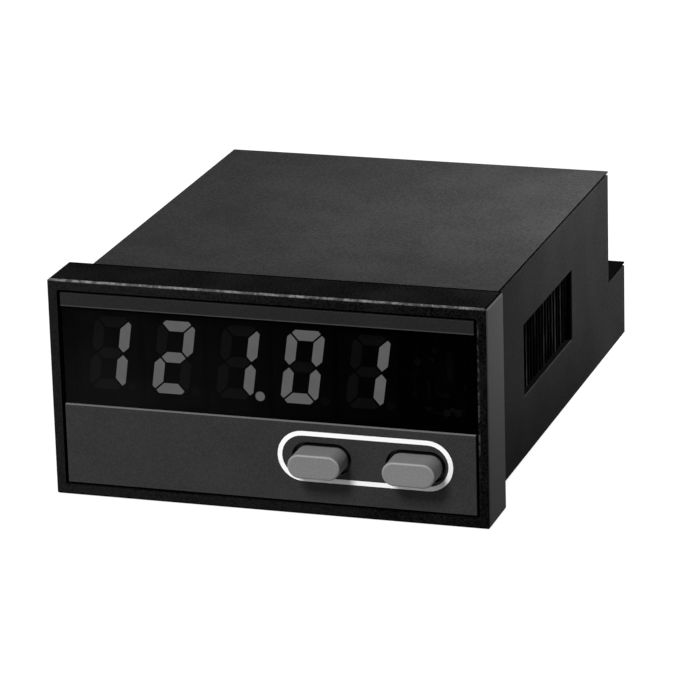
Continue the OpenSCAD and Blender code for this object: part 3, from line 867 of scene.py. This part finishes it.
class METER_OT_electronics(MeterOperator):
    """Finish the boards and parts inside"""
    bl_idname = "meter.electronics"
    bl_label = "Electronics"

    def execute(self, context):
        settings = self.meter.boards
        resin = moulded("potting resin", settings.resin, roughness=0.4, grain=0.3 * MM)
        nodes = {
            "main_board": board_lacquer("board lacquer", settings.lacquer, specular=0.4),
            "board_connector": moulded("connector plastic", settings.connector, roughness=0.45,
                                       grain=0.2 * MM),
            "supply_transformer": resin,
            "reservoir_capacitors": moulded("can sleeve", settings.sleeve, roughness=0.3, grain=0.8 * MM),
            "voltage_regulator": resin,
            "regulator_heat_sink": metal("anodised sheet", settings.heat_sink, roughness=0.4),
            "microcontroller": resin,
            "signal_relay": moulded("relay plastic", settings.relay, roughness=0.4, grain=0.3 * MM),
        }
        for node, finish in nodes.items():
            dress_node(node, finish)
        return {"FINISHED"}


# ---- stage ----

# Name, place, aim, width, height and power of each lamp
LAMPS = (
    ("front lamp", (-0.1, -0.5, 0.47), (0, 0, 0), 0.18, 0.18, 4.8),
    ("left lamp", (-0.3, -0.4, 0.06), (0, 0, 0), 0.3, 0.3, 0.6),
    ("side lamp", (0.085, 0.08, 0.1), (0.04, 0.08, 0.01), 0.04, 0.1, 0.29),
    ("low lamp", (0.1, 0.165, 0.0), (0.045, 0.12, -0.01), 0.05, 0.05, 0.04),
    ("rear lamp", (-0.45, 0.75, 0.16), (0, 0.1, 0), 0.4, 0.3, 7.0),
)
# From the meter to the floor's edges, in metres
FLOOR_REACH = 4.0
SENSOR_WIDTH = 36


class METER_OT_stage(MeterOperator):
    """Set the floor, the lights and the camera"""
    bl_idname = "meter.stage"
    bl_label = "Stage"

    def execute(self, context):
        settings = self.meter.stage
        self.floor(settings)
        self.world(settings)
        self.lights()
        self.camera(settings)
        context.scene.view_settings.view_transform = "Standard"
        return {"FINISHED"}

    def floor(self, settings):
        """A pale floor under the two edges that the meter rests on."""
        bezel_low, bezel_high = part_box("front_bezel")
        case_low, case_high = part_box("housing")
        slope = (case_low.z - bezel_low.z) / (case_high.y - bezel_high.y)
        corners = [(x, y, bezel_low.z + (y - bezel_high.y) * slope)
                   for x, y in rectangle(0, 0, 2 * FLOOR_REACH, 2 * FLOOR_REACH)]
        mesh = bpy.data.meshes.new("floor")
        mesh.from_pydata(corners, [], [(0, 1, 2, 3)])
        floor = bpy.data.objects.new("floor", mesh)
        bpy.context.scene.collection.objects.link(floor)
        finish = Finish("pale floor", Base_Color=settings.floor, Roughness=0.9, Specular_IOR_Level=0.0)
        finish.set("Emission Color", grey(1.0))
        finish.set("Emission Strength", finish.seen_rays() * settings.floor_glow)
        dress(floor, finish)

    def world(self, settings):
        """White where it is looked at, and a soft grey as a light."""
        world = bpy.data.worlds.new("studio")
        bpy.context.scene.world = world
        world.use_nodes = True
        nodes = NodeTree(world.node_tree)
        background = nodes.tree.nodes["Background"]
        nodes.plug(background.inputs["Color"], grey(1.0))
        nodes.plug(background.inputs["Strength"], nodes.seen_rays() * (1 - settings.sky) + settings.sky)

    def lights(self):
        """Soft lamps: two in front, two small ones at the right side and a broad one behind."""
        for name, place, aim, width, height, power in LAMPS:
            data = bpy.data.lights.new(name, "AREA")
            data.shape = "RECTANGLE"
            data.size = width
            data.size_y = height
            data.energy = power
            lamp = bpy.data.objects.new(name, data)
            lamp.location = place
            lamp.rotation_euler = (Vector(aim) - Vector(place)).to_track_quat("-Z", "Y").to_euler()
            lamp.visible_camera = False
            bpy.context.scene.collection.objects.link(lamp)

    def camera(self, settings):
        """A long lens that looks down at the front's right half."""
        aim = Vector((settings.aim_x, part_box("front_bezel")[0].y, settings.aim_z))
        ahead = Vector((-math.sin(settings.azimuth) * math.cos(settings.elevation),
                        math.cos(settings.azimuth) * math.cos(settings.elevation),
                        -math.sin(settings.elevation)))
        level = ahead.cross(Vector((0, 0, 1))).normalized()
        upright = level.cross(ahead)
        right = level * math.cos(settings.roll) - upright * math.sin(settings.roll)
        up = right.cross(ahead)
        data = bpy.data.cameras.new("camera")
        data.lens = settings.lens
        data.sensor_width = SENSOR_WIDTH
        data.clip_start = 0.05
        camera = bpy.data.objects.new("camera", data)
        place = aim - ahead * settings.distance
        turn = Matrix((right, up, -ahead)).transposed().to_4x4()
        camera.matrix_world = Matrix.Translation(place) @ turn
        bpy.context.scene.collection.objects.link(camera)
        bpy.context.scene.camera = camera


# ---- sidebar ----

class METER_PT_sidebar(bpy.types.Panel):
    """Lists the meter's operators"""
    bl_label = "Panel Meter"
    bl_idname = "METER_PT_sidebar"
    bl_space_type = "VIEW_3D"
    bl_region_type = "UI"
    bl_category = "Panel Meter"

    def draw(self, context):
        for operator in OPERATORS:
            self.layout.operator(operator.bl_idname)


OPERATORS = (
    METER_OT_bezel,
    METER_OT_front,
    METER_OT_digits,
    METER_OT_display_board,
    METER_OT_keys,
    METER_OT_case,
    METER_OT_terminals,
    METER_OT_electronics,
    METER_OT_stage,
)
SETTINGS = (
    BezelSettings,
    FrontSettings,
    DigitSettings,
    KeySettings,
    CaseSettings,
    BoardSettings,
    TerminalSettings,
    StageSettings,
    MeterSettings,
)


def register():
    for cls in (*SETTINGS, *OPERATORS, METER_PT_sidebar):
        bpy.utils.register_class(cls)
    bpy.types.Scene.panel_meter = PointerProperty(type=MeterSettings)


def unregister():
    del bpy.types.Scene.panel_meter
    for cls in reversed((*SETTINGS, *OPERATORS, METER_PT_sidebar)):
        bpy.utils.unregister_class(cls)


def main():
    register()
    for operator in OPERATORS:
        group, name = operator.bl_idname.split(".")
        getattr(getattr(bpy.ops, group), name)()


if __name__ == "__main__":
    main()
